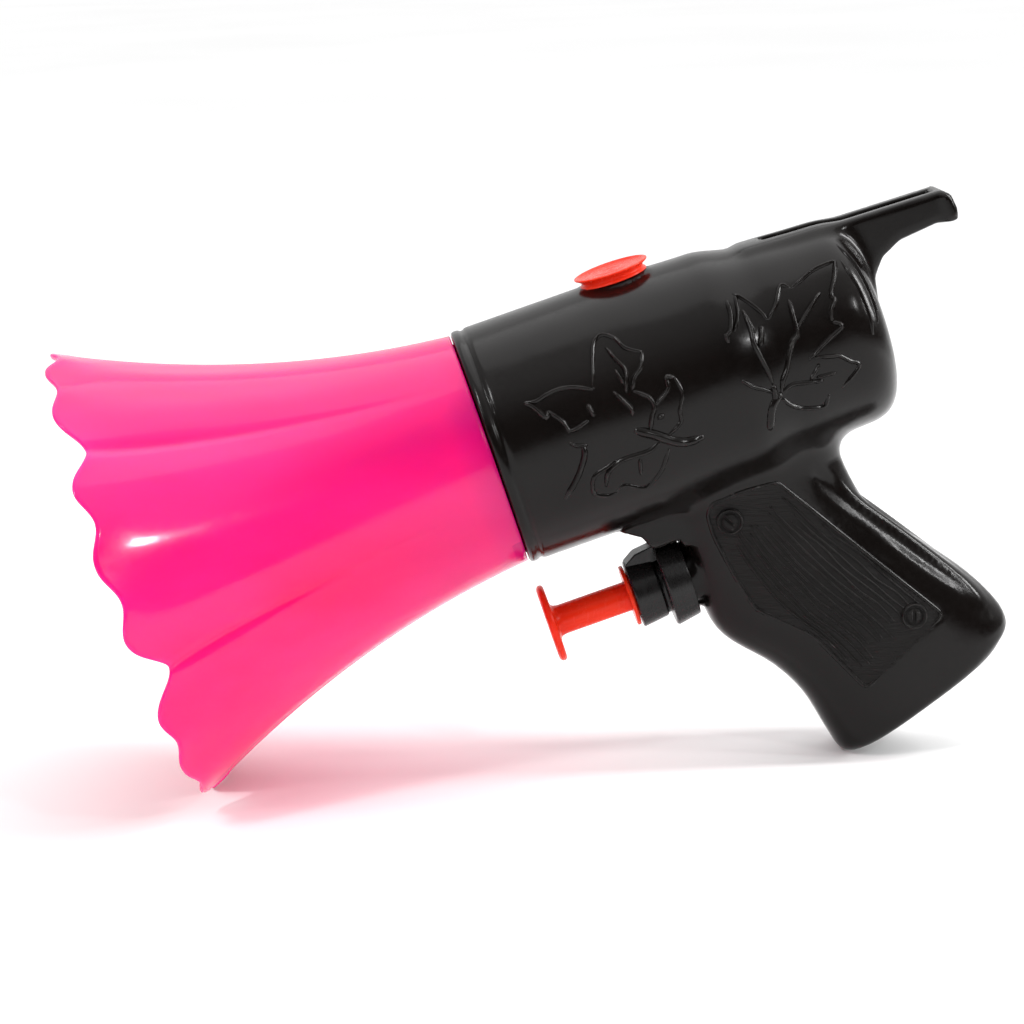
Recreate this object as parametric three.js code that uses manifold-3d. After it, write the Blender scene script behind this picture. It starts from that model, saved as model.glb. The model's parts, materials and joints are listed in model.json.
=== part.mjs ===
// Toy water pistol with a flared, fluted muzzle bell.
//
// The pistol is drawn in its own frame: X runs along the barrel from the muzzle to the back, Z is up
// out of the barrel, and X = 0 is the joint between the bell and the barrel. The whole pistol is then
// tilted nose down, so that it stands on the rim of its bell and the toe of its grip, with its origin
// under the middle of its box. Millimetres.

import * as THREE from 'three';
import { mergeVertices } from 'three/addons/utils/BufferGeometryUtils.js';
import Module from 'manifold-3d';

// ---------------------------------------------------------------- driving dimensions

const TILT = THREE.MathUtils.degToRad( 16.87 ); // nose down, as the pistol stands
const GAP = 0.3; // clearance between pieces that touch
const WALL = 1.5; // blow-moulded wall of the body

const BARREL_R = 24.2;
const BARREL_REAR_R = 20.6;
const BARREL_L = 80.6; // joint to the rear dome
const SPIGOT_L = 7; // reduced front of the barrel that the bell snaps onto
const SPIGOT_R = 21.6;

const BELL_L = 75.8;
const BELL_NECK_R = 23.6;
const BELL_FLARE = 0.0972; // radius gained per mm at the neck
const BELL_CURL = 0.00276; // and per mm squared towards the rim
const BELL_WALL = 1.5;
const PETALS = 6; // deep scallops round the rim, with two shallow ones between each two
const PETAL_PHASE = THREE.MathUtils.degToRad( 45 ); // first deep scallop, from the top
const DEEP_SCALLOP = 5;
const SHALLOW_SCALLOP = 2.2;
const DEEP_FLUTE = 2; // how far a flute dips at the rim
const SHALLOW_FLUTE = 0.9;

const SPOUT_END_X = - 17; // spout inside the bell
const SPOUT_BORE_R = 2.5;

const TAIL_T = 10; // tail, side to side
const BLOCK_T = 15; // block above the pump's collar, side to side

const PLUG_X = 34; // filler, behind the joint
const PLUG_HEAD_R = 7.5;
const FILLER_R = 5.2;
const FILLER_TOP_Z = 23.9;

const PUMP_Z = - 38.3; // pump axis, below the barrel's
const FINGER_PLATE_X = - 0.8; // front of the trigger's finger plate
const FINGER_PLATE_R = 8;
const ROD_R = 3.05;
const PUMP_NECK_X = 27; // front of the body's pump neck
const PUMP_NECK_BORE_R = 5.4;
const CYLINDER_BORE_R = 4.1;
const CYLINDER_R = 5.1;
const CYLINDER_END_X = 57.5;
const CHAMBER_R = 1.9; // ball chambers
const BALL_R = 1.5;
const PORT_R = 0.9;
const TUBE_R = 2.1; // intake and delivery tubes
const TUBE_BORE_R = 1.2;
const OUTLET_X = 46.5; // outlet port on top of the pump
const SEAT_CONE = CHAMBER_R - PORT_R; // 45 degree valve seats: as long as they are deep

// Grip sections from the barrel down: [ front x, front z, back x, back z, half thickness ]
const GRIP_SECTIONS = [
	[ 30, - 18, 66, - 14, 11 ],
	[ 30, - 30, 66, - 27, 11 ],
	[ 30.2, - 44, 69, - 38.5, 11.5 ],
	[ 32, - 51.9, 76.2, - 47.6, 12 ],
	[ 39.4, - 60.9, 83, - 56.6, 12 ],
	[ 43.7, - 68.9, 87, - 64.1, 12 ],
	[ 45.9, - 77.7, 87.8, - 68.6, 12 ],
	[ 47.2, - 83.2, 86.2, - 71, 11.6 ],
	[ 51.4, - 84.7, 82.8, - 72.7, 10.2 ]
];

// ---------------------------------------------------------------- solids

const wasm = await Module();
wasm.setup();

// A closed solid from a geometry, with the zero-area triangles at a lathe's poles dropped.
function toSolid( geometry ) {

	const plain = geometry.clone();
	plain.deleteAttribute( 'normal' );
	plain.deleteAttribute( 'uv' );
	const merged = mergeVertices( plain, 1e-4 );
	const index = merged.index.array;
	const kept = [];
	for ( let i = 0; i < index.length; i += 3 ) {

		const [ a, b, c ] = index.subarray( i, i + 3 );
		if ( a !== b && b !== c && c !== a ) kept.push( a, b, c );

	}

	const vertProperties = merged.attributes.position.array;
	return new wasm.Manifold( new wasm.Mesh( { numProp: 3, vertProperties, triVerts: new Uint32Array( kept ) } ) );

}

function toGeometry( solid ) {

	const mesh = solid.getMesh();
	const geometry = new THREE.BufferGeometry();
	geometry.setAttribute( 'position', new THREE.BufferAttribute( mesh.vertProperties, 3 ) );
	geometry.setIndex( new THREE.BufferAttribute( mesh.triVerts, 1 ) );
	geometry.computeVertexNormals();
	return geometry;

}

function join( first, ...others ) {

	return toGeometry( others.reduce( ( whole, next ) => whole.add( toSolid( next ) ), toSolid( first ) ) );

}

function cut( whole, ...tools ) {

	return toGeometry( tools.reduce( ( rest, tool ) => rest.subtract( toSolid( tool ) ), toSolid( whole ) ) );

}

// A turned piece along X. The profile's points are [ radius, x ], and run towards +X on the outside.
function turned( profile, segments = 24 ) {

	const points = profile.map( ( [ radius, along ] ) => new THREE.Vector2( radius, along ) );
	return toGeometry( toSolid( new THREE.LatheGeometry( points, segments ).rotateZ( - Math.PI / 2 ) ) );

}

// The same, standing along Z.
function standing( profile, segments = 24 ) {

	const points = profile.map( ( [ radius, up ] ) => new THREE.Vector2( radius, up ) );
	return toGeometry( toSolid( new THREE.LatheGeometry( points, segments ).rotateX( Math.PI / 2 ) ) );

}

function rod( radius, from, to ) {

	return [[ 0, from ], [ radius, from ], [ radius, to ], [ 0, to ]];

}

function ring( inner, outer, from, to ) {

	return [[ inner, from ], [ outer, from ], [ outer, to ], [ inner, to ], [ inner, from ]];

}

// A flat piece cut from a side view and centred on the middle plane.
function slab( outline, thickness ) {

	const shape = new THREE.Shape( outline.map( ( [ x, z ] ) => new THREE.Vector2( x, z ) ) );
	const geometry = new THREE.ExtrudeGeometry( shape, { depth: thickness, bevelEnabled: false } );
	return geometry.rotateX( Math.PI / 2 ).translate( 0, thickness / 2, 0 );

}

// A flexible tube along a smooth curve in the middle plane.
function tube( route, steps ) {

	const curve = new THREE.CatmullRomCurve3( route.map( ( [ x, z ] ) => new THREE.Vector3( x, 0, z ) ) );
	const section = new THREE.Shape().absarc( 0, 0, TUBE_R, 0, 2 * Math.PI );
	section.holes.push( new THREE.Path().absarc( 0, 0, TUBE_BORE_R, 0, 2 * Math.PI, true ) );
	return new THREE.ExtrudeGeometry( section, { steps, curveSegments: 5, extrudePath: curve, bevelEnabled: false } );

}

// ---------------------------------------------------------------- bell

function bellRadius( fromJoint ) {

	return BELL_NECK_R + BELL_FLARE * fromJoint + BELL_CURL * fromJoint * fromJoint;

}

function bell() {

	const rows = [ 1, 0.93, 0.82, 0.68, 0.52, 0.35, 0.18 ].map( ( share ) => share * BELL_L );
	const outside = rows.map( ( s ) => [ bellRadius( s ), - s ] );
	const inside = rows.map( ( s ) => [ bellRadius( s ) - BELL_WALL, - s ] ).reverse();
	const socketR = SPIGOT_R + GAP;
	const socket = [
		[ BELL_NECK_R, - GAP ], [ socketR, - GAP ],
		[ socketR, - 3.3 ], [ socketR + 0.6, - 3.6 ], [ socketR + 0.6, - 5.2 ], [ socketR, - 5.5 ],
		[ socketR, - SPIGOT_L - GAP ]
	];
	const geometry = turned( [ ...outside, ...socket, ...inside, outside[ 0 ] ], 12 * PETALS );

	// Flutes dip the wall and scallops shorten it, both fading towards the neck.
	const point = new THREE.Vector3();
	const position = geometry.attributes.position;
	for ( let i = 0; i < position.count; i ++ ) {

		point.fromBufferAttribute( position, i );
		const share = Math.max( 0, - point.x / BELL_L );
		const turn = Math.atan2( - point.y, point.z ) - PETAL_PHASE;
		const every = ( ( 1 + Math.cos( 3 * PETALS * turn ) ) / 2 ) ** 1.5;
		const deep = ( ( 1 + Math.cos( PETALS * turn ) ) / 2 ) ** 6;
		const dip = ( SHALLOW_FLUTE * every + ( DEEP_FLUTE - SHALLOW_FLUTE ) * deep ) * share ** 2;
		const radius = Math.hypot( point.y, point.z );
		const scale = ( radius - dip ) / radius;
		const back = ( SHALLOW_SCALLOP * every + ( DEEP_SCALLOP - SHALLOW_SCALLOP ) * deep ) * share ** 6;
		position.setXYZ( i, point.x + back, point.y * scale, point.z * scale );

	}

	geometry.computeVertexNormals();
	return geometry;

}

// ---------------------------------------------------------------- body

function barrelOutside() {

	return turned( [
		[ 0, - SPIGOT_L ], [ SPIGOT_R - 0.8, - SPIGOT_L ], [ SPIGOT_R, - SPIGOT_L + 0.8 ],
		[ SPIGOT_R, - 5.2 ], [ SPIGOT_R + 0.6, - 4.8 ], [ SPIGOT_R + 0.6, - 4 ], [ SPIGOT_R, - 3.6 ],
		[ SPIGOT_R, 0 ], [ BARREL_R - 0.7, 0 ], [ BARREL_R - 0.1, 0.8 ], [ BARREL_R, 2 ],
		[ BARREL_R, 30 ], [ BARREL_R - 0.8, 50 ], [ BARREL_REAR_R + 1, 58.5 ], [ BARREL_REAR_R + 0.3, 66 ],
		[ BARREL_REAR_R - 0.1, 73.5 ], [ BARREL_REAR_R - 1.3, 77.5 ], [ BARREL_REAR_R - 4.2, BARREL_L - 0.8 ],
		[ BARREL_REAR_R - 10, BARREL_L ], [ 0, BARREL_L ]
	], 48 );

}

function barrelHollow() {

	return turned( [
		[ 0, - SPIGOT_L + WALL ], [ SPIGOT_R - WALL, - SPIGOT_L + WALL ], [ SPIGOT_R - WALL, WALL ],
		[ BARREL_R - WALL, 2 * WALL ], [ BARREL_R - WALL, 30 ], [ BARREL_R - 0.8 - WALL, 50 ],
		[ BARREL_REAR_R + 1 - WALL, 58.5 ], [ BARREL_REAR_R - 0.1 - WALL, 73 ],
		[ BARREL_REAR_R - 5 - WALL, BARREL_L - 0.8 - WALL ], [ 0, BARREL_L - WALL ]
	], 32 );

}

// A cylinder's rings moved onto the grip's sections, each a rounded rectangle (a superellipse).
function gripForm( sections, segments ) {

	const rings = sections.length - 1;
	const geometry = new THREE.CylinderGeometry( 1, 1, 1, segments, rings );
	const roundness = 0.72; // 1 is an ellipse, 0 a rectangle
	const squared = ( value ) => Math.sign( value ) * Math.abs( value ) ** roundness;
	const position = geometry.attributes.position;
	for ( let i = 0; i < position.count; i ++ ) {

		const [ frontX, frontZ, backX, backZ, half ] = sections[ Math.round( ( 0.5 - position.getY( i ) ) * rings ) ];
		const along = squared( position.getX( i ) ) / 2;
		const x = ( frontX + backX ) / 2 + along * ( backX - frontX );
		const z = ( frontZ + backZ ) / 2 + along * ( backZ - frontZ );
		position.setXYZ( i, x, - half * squared( position.getZ( i ) ), z );

	}

	return geometry;

}

function gripHollow() {

	const inset = GRIP_SECTIONS.slice( 0, - 2 ).map( ( [ frontX, frontZ, backX, backZ, half ] ) =>
		[ frontX + WALL, frontZ, backX - WALL, backZ, half - WALL ] );
	inset.push( [ 49.3, - 80.9, 84.6, - 69.7, 9.6 ] );
	return gripForm( inset, 20 );

}

function tail() {

	return slab( [
		[ 56, 16 ], [ 79, 5 ], [ 81.2, 3 ], [ 82.6, 7.4 ], [ 85.4, 10.8 ], [ 89.5, 12.8 ], [ 97.5, 13.6 ], [ 100.5, 12.9 ],
		[ 101.7, 12.9 ], [ 102.2, 15.2 ], [ 101.7, 18.2 ], [ 100.3, 19.5 ], [ 59.6, 20.8 ]
	], TAIL_T );

}

function bodyShell() {

	const pumpNeck = turned( rod( PUMP_NECK_BORE_R + 1.2, PUMP_NECK_X, 33 ) ).translate( 0, 0, PUMP_Z );
	const pumpBore = turned( rod( PUMP_NECK_BORE_R, PUMP_NECK_X - 1, 36 ) ).translate( 0, 0, PUMP_Z );
	const block = slab( [[ 18.5, - 20 ], [ 19.5, - 24 ], [ 22.5, - 26 ], [ 23.8, - 29.1 ], [ 34, - 29.1 ], [ 38, - 20 ]], BLOCK_T );
	const boss = standing( rod( FILLER_R + 1.6, 20, FILLER_TOP_Z ) ).translate( PLUG_X, 0, 0 );
	const filler = standing( rod( FILLER_R, 18, FILLER_TOP_Z + 1 ) ).translate( PLUG_X, 0, 0 );
	const spout = turned( [[ 0, SPOUT_END_X ], [ 4, SPOUT_END_X ], [ 6, - SPIGOT_L ], [ 6, - 6 ], [ 0, - 6 ]] );
	const spoutBore = turned( rod( SPOUT_BORE_R, SPOUT_END_X - 1, 0 ), 16 );
	const groove = slab( [[ 64, 19.2 ], [ 98, 18.2 ], [ 98, 24 ], [ 64, 24 ]], 3.6 );
	const outside = join( barrelOutside(), gripForm( GRIP_SECTIONS, 28 ), tail(), block, pumpNeck, boss, spout );
	return cut( outside, barrelHollow(), gripHollow(), pumpBore, filler, spoutBore, groove );

}

// ---------------------------------------------------------------- nozzle and plug

function nozzleTip() {

	const head = - 20.6;
	return turned( [
		[ 0.5, head ], [ 1.6, head ], [ 3.2, head + 1.4 ], [ 3.2, SPOUT_END_X - 1 ], [ 2.2, SPOUT_END_X - 1 ],
		[ 2.2, - 9 ], [ 1.1, - 9 ], [ 1.1, head + 2 ], [ 0.5, head + 1.6 ], [ 0.5, head ]
	], 20 );

}

function fillPlug() {

	const under = FILLER_TOP_Z + GAP;
	const head = under + 0.9;
	return standing( [
		[ 0, 19 ], [ 4.3, 19 ], [ 4.9, 19.8 ], [ 4.9, under ], [ 6.1, under ], [ 6.1, head ],
		[ PLUG_HEAD_R - 0.2, head ], [ PLUG_HEAD_R, head + 0.4 ], [ PLUG_HEAD_R - 0.3, head + 1.1 ],
		[ 5.4, head + 0.9 ], [ 0, head + 0.9 ]
	], 32 );

}

// ---------------------------------------------------------------- pump, along its own axis

function trigger() {

	const plateBack = FINGER_PLATE_X + 1.6;
	return turned( [
		[ 0, FINGER_PLATE_X ], [ FINGER_PLATE_R - 0.4, FINGER_PLATE_X ], [ FINGER_PLATE_R, FINGER_PLATE_X + 0.5 ],
		[ FINGER_PLATE_R, plateBack - 0.4 ], [ FINGER_PLATE_R - 0.4, plateBack ], [ ROD_R + 0.6, plateBack ],
		[ ROD_R, plateBack + 0.8 ], [ ROD_R, 24.2 ], [ 3.75, 24.2 ], [ 3.75, 25.7 ], [ 2.7, 25.7 ],
		[ 2.7, 27.9 ], [ 3.75, 27.9 ], [ 3.75, 29 ], [ 2, 29 ], [ 2, 31.5 ], [ 0, 31.5 ]
	], 28 );

}

function guideRing() {

	const bore = ROD_R + 0.25;
	return turned( [
		[ bore, 16.4 ], [ 6.25, 16.4 ], [ 6.25, 17.2 ], [ 4.6, 17.2 ], [ 4.6, 23.9 ], [ bore, 23.9 ], [ bore, 16.4 ]
	], 28 );

}

function collar() {

	const bore = 4.6 + GAP;
	const cap = turned( [
		[ bore, 17.5 ], [ 6.8, 17.5 ], [ 7, 17.8 ], [ 6.4, 22.9 ], [ 5.9, 23.1 ], [ 5.9, 23.9 ], [ 8.6, 24 ],
		[ 8.9, 24.4 ], [ 8.1, 29.2 ], [ 6.9, 29.2 ], [ 6.9, 24.9 ], [ bore, 24.9 ], [ bore, 17.5 ]
	], 32 );
	const gusset = slab( [[ 17.7, 5.6 ], [ 24.3, 5.6 ], [ 24.3, 8.7 ], [ 20.2, 8.3 ], [ 17.6, 6.7 ]], 5 );
	return join( cap, gusset );

}

function pumpCylinder() {

	const seatX = 51.6;
	const barrel = turned( [
		[ 0, 25.2 ], [ 6.5, 25.2 ], [ 6.5, 26.1 ], [ CYLINDER_R, 26.1 ], [ CYLINDER_R, 53 ], [ 3.6, 54 ],
		[ 3.6, CYLINDER_END_X ], [ 0, CYLINDER_END_X ]
	], 28 );
	const bore = turned( [
		[ 0, 24 ], [ CYLINDER_BORE_R, 24 ], [ CYLINDER_BORE_R, 49 ], [ CHAMBER_R, 49 ], [ CHAMBER_R, seatX ],
		[ PORT_R, seatX + SEAT_CONE ], [ PORT_R, 54 ], [ TUBE_R + GAP, 54 ], [ TUBE_R + GAP, CYLINDER_END_X + 1 ],
		[ 0, CYLINDER_END_X + 1 ]
	], 28 );
	const port = standing( rod( CHAMBER_R, CYLINDER_R - 0.6, 9 ), 16 ).translate( OUTLET_X, 0, 0 );
	const portBore = standing( rod( PORT_R, 3, 10 ), 12 ).translate( OUTLET_X, 0, 0 );
	return cut( join( barrel, port ), bore, portBore );

}

function ballRetainer() {

	const disc = turned( rod( 3.8, 47.9, 48.7 ), 24 );
	const holes = [ 0, 1, 2 ].map( ( third ) => {

		const angle = third * 2 * Math.PI / 3;
		return turned( rod( 0.8, 47, 50 ), 8 ).translate( 0, 1.5 * Math.sin( angle ), 1.5 * Math.cos( angle ) );

	} );
	return cut( disc, ...holes );

}

class Helix extends THREE.Curve {

	constructor( radius, from, to, turns ) {

		super();
		Object.assign( this, { radius, from, to, turns } );

	}

	getPoint( share, target = new THREE.Vector3() ) {

		const angle = share * this.turns * 2 * Math.PI;
		const x = this.from + share * ( this.to - this.from );
		return target.set( x, this.radius * Math.sin( angle ), this.radius * Math.cos( angle ) );

	}

}

function returnSpring() {

	const turns = 6;
	const wire = new THREE.Shape().absarc( 0, 0, 0.3, 0, 2 * Math.PI );
	const extrudePath = new Helix( 2.9, 29.7, 47.2, turns );
	return new THREE.ExtrudeGeometry( wire, { steps: 12 * turns, curveSegments: 3, extrudePath, bevelEnabled: false } );

}

// ---------------------------------------------------------------- outlet valve, above the pump

function outletValve() {

	return standing( [
		[ CHAMBER_R + GAP, - 32.6 ], [ 3.4, - 32.6 ], [ 3.4, - 19.5 ], [ TUBE_R + GAP, - 19.5 ], [ TUBE_R + GAP, - 24 ],
		[ CHAMBER_R, - 24 ], [ CHAMBER_R, - 27 ], [ PORT_R, - 27 - SEAT_CONE ], [ PORT_R, - 29 ],
		[ CHAMBER_R + GAP, - 29 ], [ CHAMBER_R + GAP, - 32.6 ]
	], 20 ).translate( OUTLET_X, 0, 0 );

}

// ---------------------------------------------------------------- assembly

const colours = {
	black: { color: 0x161313, roughness: 0.28 },
	pink: { color: 0xff2a92, roughness: 0.18 },
	red: { color: 0xd8301c, roughness: 0.3 },
	clear: { color: 0xd8dcdc, roughness: 0.3 },
	rubber: { color: 0x2a2a2a, roughness: 0.8 },
	steel: { color: 0xb8bcc0, roughness: 0.3, metalness: 1 }
};

const pistol = new THREE.Group();
const pump = new THREE.Group();
pump.position.z = PUMP_Z;
pistol.add( pump );

function piece( name, geometry, finish, parent = pistol ) {

	const mesh = new THREE.Mesh( geometry, new THREE.MeshStandardMaterial( { metalness: 0, ...colours[ finish ] } ) );
	mesh.name = name;
	parent.add( mesh );

}

piece( 'body_shell', bodyShell(), 'black' );
piece( 'bell', bell(), 'pink' );
piece( 'nozzle_tip', nozzleTip(), 'red' );
piece( 'nozzle_gasket', turned( ring( SPOUT_BORE_R, 3.4, SPOUT_END_X - 0.8, SPOUT_END_X - 0.2 ), 20 ), 'rubber' );
piece( 'fill_plug', fillPlug().translate( PLUG_X, 0, 0 ), 'red' );
piece( 'delivery_tube', tube( [
	[ OUTLET_X, - 23.7 ], [ OUTLET_X, - 19 ], [ 45.8, - 13 ], [ 42, - 6 ], [ 33, - 1.5 ], [ 20, 0 ], [ 6, 0 ], [ - 8.6, 0 ]
], 22 ), 'clear' );
piece( 'outlet_valve_body', outletValve(), 'clear' );

// A ball of this radius rests on its seat when its centre is this far from where the chamber ends.
const ballRest = Math.SQRT2 * ( BALL_R + 0.1 ) - CHAMBER_R;
piece( 'outlet_ball', new THREE.SphereGeometry( BALL_R, 14, 8 ).translate( OUTLET_X, 0, - 27 + ballRest ), 'steel' );

piece( 'trigger', trigger(), 'red', pump );
piece( 'guide_ring', guideRing(), 'red', pump );
piece( 'collar', collar(), 'black', pump );
piece( 'neck_gasket', turned( ring( PUMP_NECK_BORE_R, 6.4, 26.3, PUMP_NECK_X - 0.15 ), 24 ), 'rubber', pump );
piece( 'pump_cylinder', pumpCylinder(), 'clear', pump );
piece( 'piston_seal', new THREE.TorusGeometry( 3.45, 0.45, 8, 24 ).rotateY( Math.PI / 2 ).translate( 26.8, 0, 0 ), 'rubber', pump );
piece( 'return_spring', returnSpring(), 'steel', pump );
piece( 'ball_retainer', ballRetainer(), 'clear', pump );
piece( 'inlet_ball', new THREE.SphereGeometry( BALL_R, 14, 8 ).translate( 51.6 - ballRest, 0, 0 ), 'steel', pump );
piece( 'intake_tube', tube( [[ 54.4, 0 ], [ 58, 0 ], [ 62, - 3 ], [ 63, - 10 ], [ 60.5, - 22 ], [ 54, - 39 ]], 14 ), 'clear', pump );

pistol.rotation.y = - TILT;
const box = new THREE.Box3().setFromObject( pistol, true );
const middle = box.getCenter( new THREE.Vector3() );
pistol.position.set( - middle.x, - middle.y, - box.min.z );

const model = new THREE.Group();
model.add( pistol );

export default model;
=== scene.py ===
import itertools
import json
import math

import bmesh
import bpy
import numpy as np
from mathutils import Matrix, Vector


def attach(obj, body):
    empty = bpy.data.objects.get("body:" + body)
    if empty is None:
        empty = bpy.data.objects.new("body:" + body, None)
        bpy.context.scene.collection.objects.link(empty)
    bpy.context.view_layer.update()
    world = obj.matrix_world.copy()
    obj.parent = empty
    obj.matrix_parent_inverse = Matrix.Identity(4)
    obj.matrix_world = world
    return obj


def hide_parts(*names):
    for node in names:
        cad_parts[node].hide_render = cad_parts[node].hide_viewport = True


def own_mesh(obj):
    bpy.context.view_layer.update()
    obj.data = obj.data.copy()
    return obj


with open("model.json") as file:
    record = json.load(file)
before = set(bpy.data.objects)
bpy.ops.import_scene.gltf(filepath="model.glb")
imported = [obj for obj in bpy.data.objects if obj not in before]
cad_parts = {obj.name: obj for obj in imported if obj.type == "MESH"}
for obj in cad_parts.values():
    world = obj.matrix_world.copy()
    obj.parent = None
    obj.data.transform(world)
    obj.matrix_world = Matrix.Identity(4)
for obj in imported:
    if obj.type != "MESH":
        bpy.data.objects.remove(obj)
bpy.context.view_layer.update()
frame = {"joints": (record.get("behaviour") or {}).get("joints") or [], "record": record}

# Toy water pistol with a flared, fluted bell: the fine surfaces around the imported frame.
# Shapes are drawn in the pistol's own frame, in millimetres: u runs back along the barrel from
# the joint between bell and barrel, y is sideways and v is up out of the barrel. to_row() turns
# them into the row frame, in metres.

rng = np.random.default_rng(7)

# ---------------------------------------------------------------- the pistol's own frame

PUMP_V = -38.3  # pump axis, below the barrel's
PLATE_U = -0.8  # front of the finger plate

push = next(j for j in frame["joints"] if j["name"] == "trigger_push")
plate = next(m for m in frame["record"]["mounts"] if m["name"] == "finger_plate")
COS_TILT, SIN_TILT = push["axis"][0], push["axis"][2]
BASIS = np.array([[COS_TILT, 0, SIN_TILT], [0, 1, 0], [-SIN_TILT, 0, COS_TILT]])
ORIGIN = np.array(plate["pos_m"]) - np.array([PLATE_U, 0, PUMP_V]) @ BASIS / 1000


def to_row(points):
    return ORIGIN + np.asarray(points, float) @ BASIS / 1000


# ---------------------------------------------------------------- mesh helpers


def add_piece(name, points, faces, material, slot, body, replaces=(), flat_faces=False):
    """A smooth-shaded mesh that rides on a body. flat_faces keeps flat faces flat beside rounded edges."""
    mesh = bpy.data.meshes.new(name)
    mesh.from_pydata(to_row(points).tolist(), [], [list(map(int, f)) for f in faces])
    mesh.validate()
    mesh.shade_smooth()
    mesh.materials.append(material)
    piece = bpy.data.objects.new(name, mesh)
    bpy.context.scene.collection.objects.link(piece)
    if flat_faces:
        piece.modifiers.new("flat_faces", "WEIGHTED_NORMAL")
    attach(piece, body)
    if replaces:
        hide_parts(*replaces)
    return piece


def joined(*parts):
    """Several (points, faces) as one."""
    points, faces, start = [], [], 0
    for some_points, some_faces in parts:
        points.append(np.asarray(some_points, float))
        faces.extend([[i + start for i in face] for face in some_faces])
        start += len(some_points)
    return np.concatenate(points), faces


def rounded(profile, radius=0.25, steps=4, closed=False):
    """A polyline with its corners rounded."""
    profile = [np.array(p, float) for p in profile]
    count = len(profile)
    made = []
    for i, corner in enumerate(profile):
        if not closed and i in (0, count - 1):
            made.append(corner)
            continue
        before = profile[i - 1] - corner
        after = profile[(i + 1) % count] - corner
        reach = min(radius, 0.45 * np.linalg.norm(before), 0.45 * np.linalg.norm(after))
        start = corner + before / np.linalg.norm(before) * reach
        end = corner + after / np.linalg.norm(after) * reach
        for share in np.linspace(0, 1, steps):
            made.append((1 - share) ** 2 * start + 2 * share * (1 - share) * corner + share ** 2 * end)
    return made


def turned(profile, segments=96, closed=False):
    """A lathed solid about the u axis. The profile's points are (radius, u), outside towards +u."""
    points, rings = [], []
    for radius, along in profile:
        if radius < 1e-6:
            rings.append([len(points)] * segments)
            points.append((along, 0, 0))
            continue
        rings.append(list(range(len(points), len(points) + segments)))
        for k in range(segments):
            angle = 2 * math.pi * k / segments
            points.append((along, radius * math.cos(angle), radius * math.sin(angle)))
    if closed:
        rings.append(rings[0])
    faces = []
    for first, second in zip(rings, rings[1:]):
        for k in range(segments):
            n = (k + 1) % segments
            face = [first[k], first[n], second[n], second[k]]
            faces.append(list(dict.fromkeys(face)))
    return np.array(points, float), [f for f in faces if len(f) > 2]


def upright(part, at_u):
    """A lathed solid turned to stand along v, with its axis at u = at_u."""
    points, faces = part
    u, y, v = points.T
    return np.stack([at_u - v, y, u], 1), faces


def at_pump(part):
    points, faces = part
    return points + np.array([0, 0, PUMP_V]), faces


def smooth_route(points, per_span=10):
    """A Catmull-Rom curve through the points."""
    p = np.array(points, float)
    p = np.vstack([2 * p[0] - p[1], p, 2 * p[-1] - p[-2]])
    made = []
    for i in range(1, len(p) - 2):
        for t in np.linspace(0, 1, per_span, endpoint=False):
            made.append(0.5 * (2 * p[i] + (p[i + 1] - p[i - 1]) * t
                               + (2 * p[i - 1] - 5 * p[i] + 4 * p[i + 1] - p[i + 2]) * t ** 2
                               + (3 * p[i] - p[i - 1] - 3 * p[i + 1] + p[i + 2]) * t ** 3))
    made.append(p[-2])
    return np.array(made)


def swept(route, radius, sides=20, bore=0.0, start_side=(0, 1, 0)):
    """A round wire, or a tube with a bore, along a route of 3-D points."""
    route = np.array(route, float)
    tangent = np.gradient(route, axis=0)
    tangent /= np.linalg.norm(tangent, axis=1, keepdims=True)
    side = np.array(start_side, float)
    loops = []
    for point, direction in zip(route, tangent):
        side = side - direction * (side @ direction)
        side /= np.linalg.norm(side)
        loops.append((point, side, np.cross(direction, side)))
    points, faces = [], []
    angles = np.arange(sides) * 2 * math.pi / sides
    walls = [radius, bore] if bore else [radius]
    for wall in walls:
        for point, across, up in loops:
            for angle in angles:
                points.append(point + wall * (math.cos(angle) * across + math.sin(angle) * up))
    count = len(route)
    for w in range(len(walls)):
        for i, k in itertools.product(range(count - 1), range(sides)):
            a = w * count * sides + i * sides
            n = (k + 1) % sides
            face = [a + k, a + n, a + sides + n, a + sides + k]
            faces.append(face[::-1] if w else face)
    last = (count - 1) * sides
    if bore:
        inner = count * sides
        for k in range(sides):
            n = (k + 1) % sides
            faces.append([k, inner + k, inner + n, n])
            faces.append([last + n, inner + last + n, inner + last + k, last + k])
    else:
        faces.append(list(range(sides))[::-1])
        faces.append([last + k for k in range(sides)])
    return np.array(points), faces


# ---------------------------------------------------------------- materials


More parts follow.
